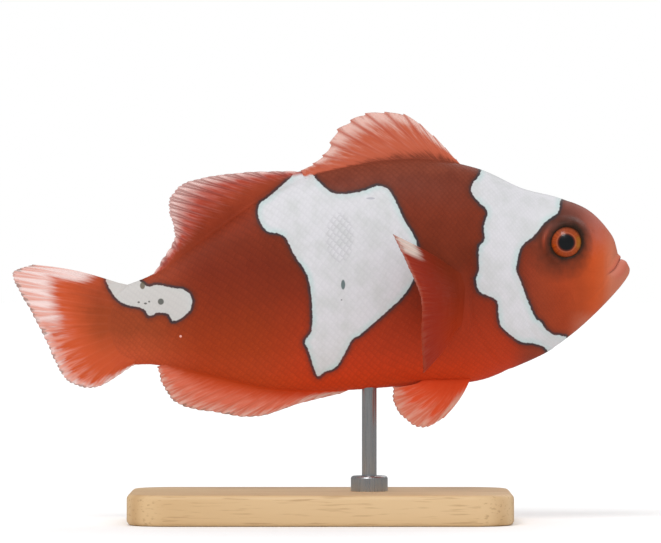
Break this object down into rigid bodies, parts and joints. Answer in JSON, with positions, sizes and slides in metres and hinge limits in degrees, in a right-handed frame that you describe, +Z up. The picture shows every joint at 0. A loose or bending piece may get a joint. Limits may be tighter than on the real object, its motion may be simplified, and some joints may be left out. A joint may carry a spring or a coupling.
{
  "type": "maroon clownfish",
  "caption": "Life-size still model of a maroon clownfish swimming level with its fins spread, on a plain wood base with a slim steel rod.",
  "frame": {"origin": "on the underside of the stand's base, below the middle of the whole model", "axes": "+X towards the snout, +Z up, +Y to the fish's left"},
  "size_m": [0.1001, 0.0446, 0.0666],
  "materials": {
    "skin": "satin, fine scales, maroon to orange with pearl-white bars",
    "scales": "satin, overlapping thin scales, same markings as the skin",
    "fin": "satin, thin rayed membrane, paler to the edge",
    "eye": "high gloss, orange iris and dark pupil",
    "stand_wood": "satin oiled maple",
    "stand_metal": "brushed"
  },
  "bodies": {
    "root": {"head": "skin", "jaw_lower": "skin", "gill_cover_left": "skin", "gill_cover_right": "skin", "trunk": "skin", "tail_peduncle": "skin", "eye_left": "eye", "eye_right": "eye", "dorsal_fin_spiny": "fin", "dorsal_fin_soft": "fin", "anal_fin": "fin", "caudal_fin": "fin", "pectoral_fin_left": "fin", "pectoral_fin_right": "fin", "pelvic_fin_left": "fin", "pelvic_fin_right": "fin", "stand_base": "stand_wood", "stand_collar": "stand_metal", "stand_rod": "stand_metal"}
  },
  "joints": []
}
